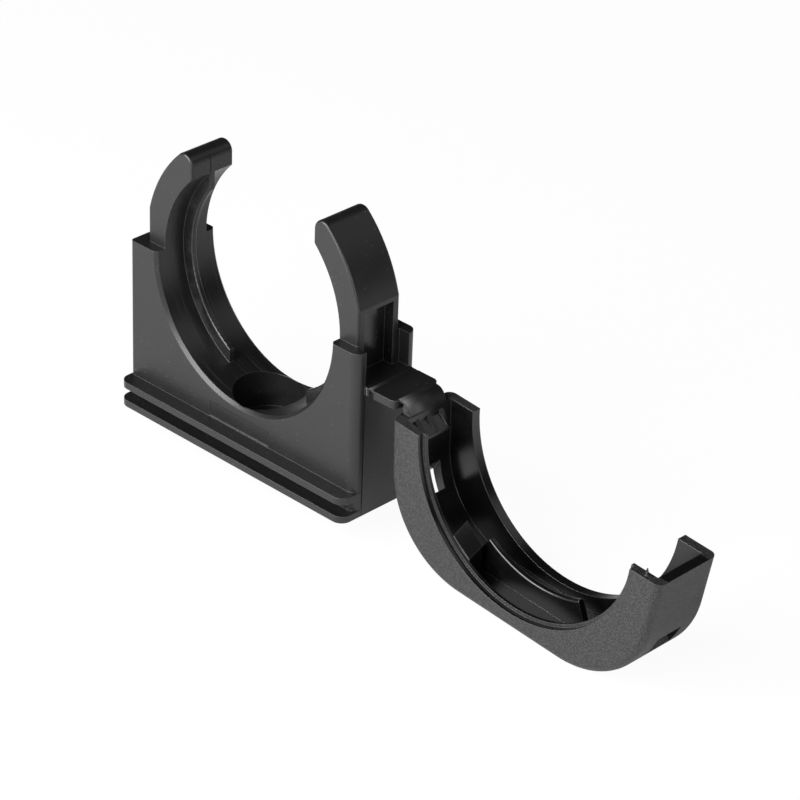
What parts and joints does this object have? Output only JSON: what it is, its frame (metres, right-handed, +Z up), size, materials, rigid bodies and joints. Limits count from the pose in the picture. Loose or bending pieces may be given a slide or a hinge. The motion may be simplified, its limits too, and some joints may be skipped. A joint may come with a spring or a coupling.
{
  "type": "hinged conduit clip",
  "caption": "Hinged saddle clip that holds a round conduit: slotted base, springy arms and an arched snap lid on a film-hinged link.",
  "frame": {"origin": "centre of the screw hole on the base's underside, which is also the middle of the base's footprint", "axes": "+X along the base towards the hinge and the lid, +Y along the conduit towards the back, +Z up from the surface the clip is fixed to"},
  "size_m": [0.1226, 0.0198, 0.0566],
  "materials": {
    "base_polyamide": "moulded, satin",
    "lid_polyamide": "moulded, fine spark-eroded grain"
  },
  "bodies": {
    "base": {"base": "base_polyamide"},
    "hinge_link": {"hinge_link": "base_polyamide"},
    "lid": {"lid": "lid_polyamide"}
  },
  "joints": [
    {"name": "base_film_hinge", "type": "hinge", "parent": "base", "child": "hinge_link", "pos_m": [0.02924, 0, 0.025], "axis": [0, -1, 0], "range_deg": [0, 84]},
    {"name": "lid_film_hinge", "type": "hinge", "parent": "hinge_link", "child": "lid", "pos_m": [0.03564, 0, 0.025], "axis": [0, -1, 0], "range_deg": [0, 100.8]}
  ]
}
